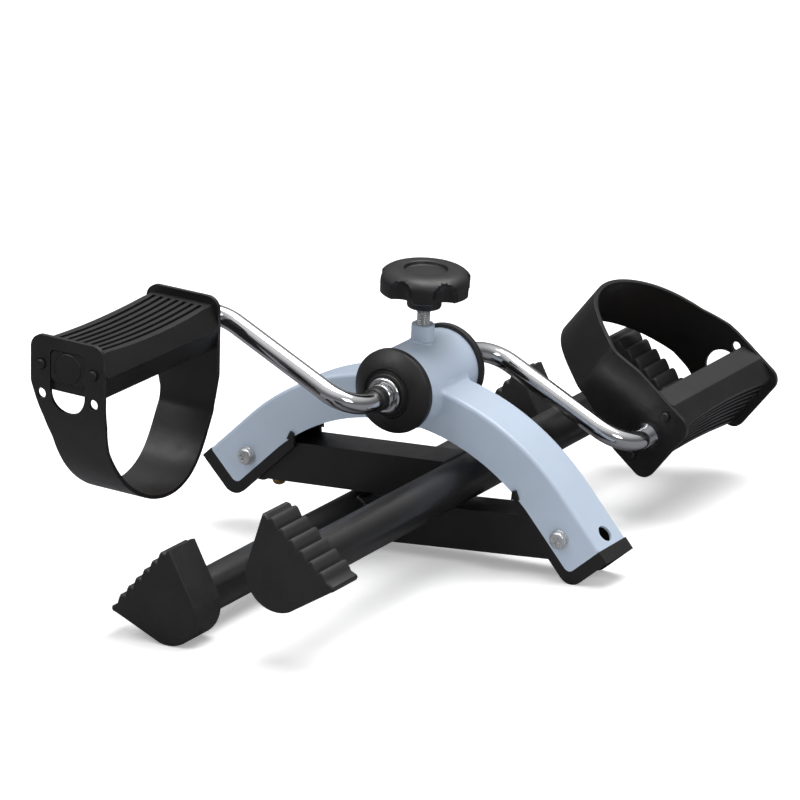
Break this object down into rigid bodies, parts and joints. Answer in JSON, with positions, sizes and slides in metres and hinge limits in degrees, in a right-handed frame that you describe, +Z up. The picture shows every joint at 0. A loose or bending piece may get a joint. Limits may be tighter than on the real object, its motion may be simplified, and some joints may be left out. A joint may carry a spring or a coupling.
{
  "type": "pedal exerciser",
  "caption": "Folding pedal exerciser: arched steel frame with crank hub, tension knob, strapped pedals on bent cranks and legs with stepped feet, shown folded.",
  "frame": {"origin": "on the floor, under the middle of the overall length and width of the folded exerciser", "axes": "+X along the arch from the rear leg's pivot to the front leg's pivot, +Y along the hub axle to the far side, +Z up from the floor"},
  "size_m": [0.2778, 0.4398, 0.1778],
  "materials": {
    "blue_paint": "smooth semi-gloss light blue powder coat",
    "grey_plastic": "plain moulded nylon",
    "bare_steel": "plain drawn steel",
    "chrome": "bright chrome plate",
    "black_plastic": "satin moulded black plastic",
    "black_paint": "semi-gloss black paint",
    "black_rubber": "matt black rubber",
    "brass": "dull brass",
    "pedal_plastic": "satin moulded black plastic",
    "strap_plastic": "satin flexible black plastic",
    "zinc": "bright zinc plate"
  },
  "bodies": {
    "frame": {"arch_channel": "blue_paint", "dust_cap_far": "black_plastic", "dust_cap_near": "black_plastic", "end_boot_left": "black_plastic", "end_boot_right": "black_plastic", "hub_bush_far": "grey_plastic", "hub_bush_near": "grey_plastic", "hub_tube": "blue_paint", "pivot_bolts": "zinc", "pivot_nuts": "zinc", "pivot_sleeves": "bare_steel", "tension_boss": "blue_paint"},
    "brake_pad": {"brake_pad": "grey_plastic"},
    "tension_knob": {"tension_knob": "black_plastic", "tension_screw": "zinc"},
    "crank": {"crank_axle": "bare_steel", "crank_collar_far": "chrome", "crank_collar_near": "chrome", "crank_pins": "bare_steel", "crank_rod_far": "chrome", "crank_rod_near": "chrome", "crank_sleeve_far": "black_plastic", "crank_sleeve_near": "black_plastic", "crank_washer_far": "chrome", "crank_washer_near": "chrome", "spindle_retainer_far": "bare_steel", "spindle_retainer_near": "bare_steel", "spindle_rings": "chrome"},
    "near_pedal": {"pedal_body_near": "pedal_plastic", "pedal_plug_near": "pedal_plastic", "pedal_strap_near": "strap_plastic"},
    "far_pedal": {"pedal_body_far": "pedal_plastic", "pedal_plug_far": "pedal_plastic", "pedal_strap_far": "strap_plastic"},
    "front_leg": {"front_cross_tube": "black_paint", "front_foot_far": "black_rubber", "front_foot_near": "black_rubber", "front_leg_bar": "black_paint", "front_lock_spring": "bare_steel"},
    "rear_leg": {"rear_cross_tube": "black_paint", "rear_foot_far": "black_rubber", "rear_foot_near": "black_rubber", "rear_leg_bar": "black_paint", "rear_lock_spring": "bare_steel"},
    "front_lock_button": {"front_lock_button": "brass"},
    "rear_lock_button": {"rear_lock_button": "brass"}
  },
  "joints": [
    {"name": "tension_travel", "type": "slide", "parent": "frame", "child": "brake_pad", "axis": [-0.1024, 0, -0.9947], "range_m": [-0.00251, 0.00058]},
    {"name": "tension_turn", "type": "hinge", "parent": "brake_pad", "child": "tension_knob", "pos_m": [0.01234, 0, 0.15045], "axis": [-0.1024, 0, -0.9947], "range_deg": [-720, 165]},
    {"name": "crank_turn", "type": "hinge", "parent": "frame", "child": "crank", "pos_m": [0.00789, 0, 0.10718], "axis": [0, 1, 0], "range_deg": [-25, 4]},
    {"name": "near_pedal_turn", "type": "hinge", "parent": "crank", "child": "near_pedal", "pos_m": [-0.08544, -0.1601, 0.1595], "axis": [0, 1, 0], "continuous": true},
    {"name": "far_pedal_turn", "type": "hinge", "parent": "crank", "child": "far_pedal", "pos_m": [0.10122, 0.1601, 0.05485], "axis": [0, 1, 0], "range_deg": [-3, 268]},
    {"name": "front_leg_fold", "type": "hinge", "parent": "frame", "child": "front_leg", "pos_m": [0.10806, 0, 0.02668], "axis": [0, -1, 0], "range_deg": [0, 125.2]},
    {"name": "rear_leg_fold", "type": "hinge", "parent": "frame", "child": "rear_leg", "pos_m": [-0.10658, 0, 0.04878], "axis": [0, 1, 0], "range_deg": [0, 60.2]},
    {"name": "front_button_press", "type": "slide", "parent": "front_leg", "child": "front_lock_button", "axis": [-0.044, 0, 0.999], "range_m": [0, 0.0038], "deforming": ["front_lock_spring"]},
    {"name": "rear_button_press", "type": "slide", "parent": "rear_leg", "child": "rear_lock_button", "axis": [-0.0161, 0, 0.9999], "range_m": [0, 0.0038], "deforming": ["rear_lock_spring"]}
  ],
  "couplings": [
    {"joint": "tension_travel", "follows": "tension_turn", "m_per_rad": 0.00019894},
    {"joint": "rear_leg_fold", "follows": "front_leg_fold", "ratio": 0.48}
  ]
}
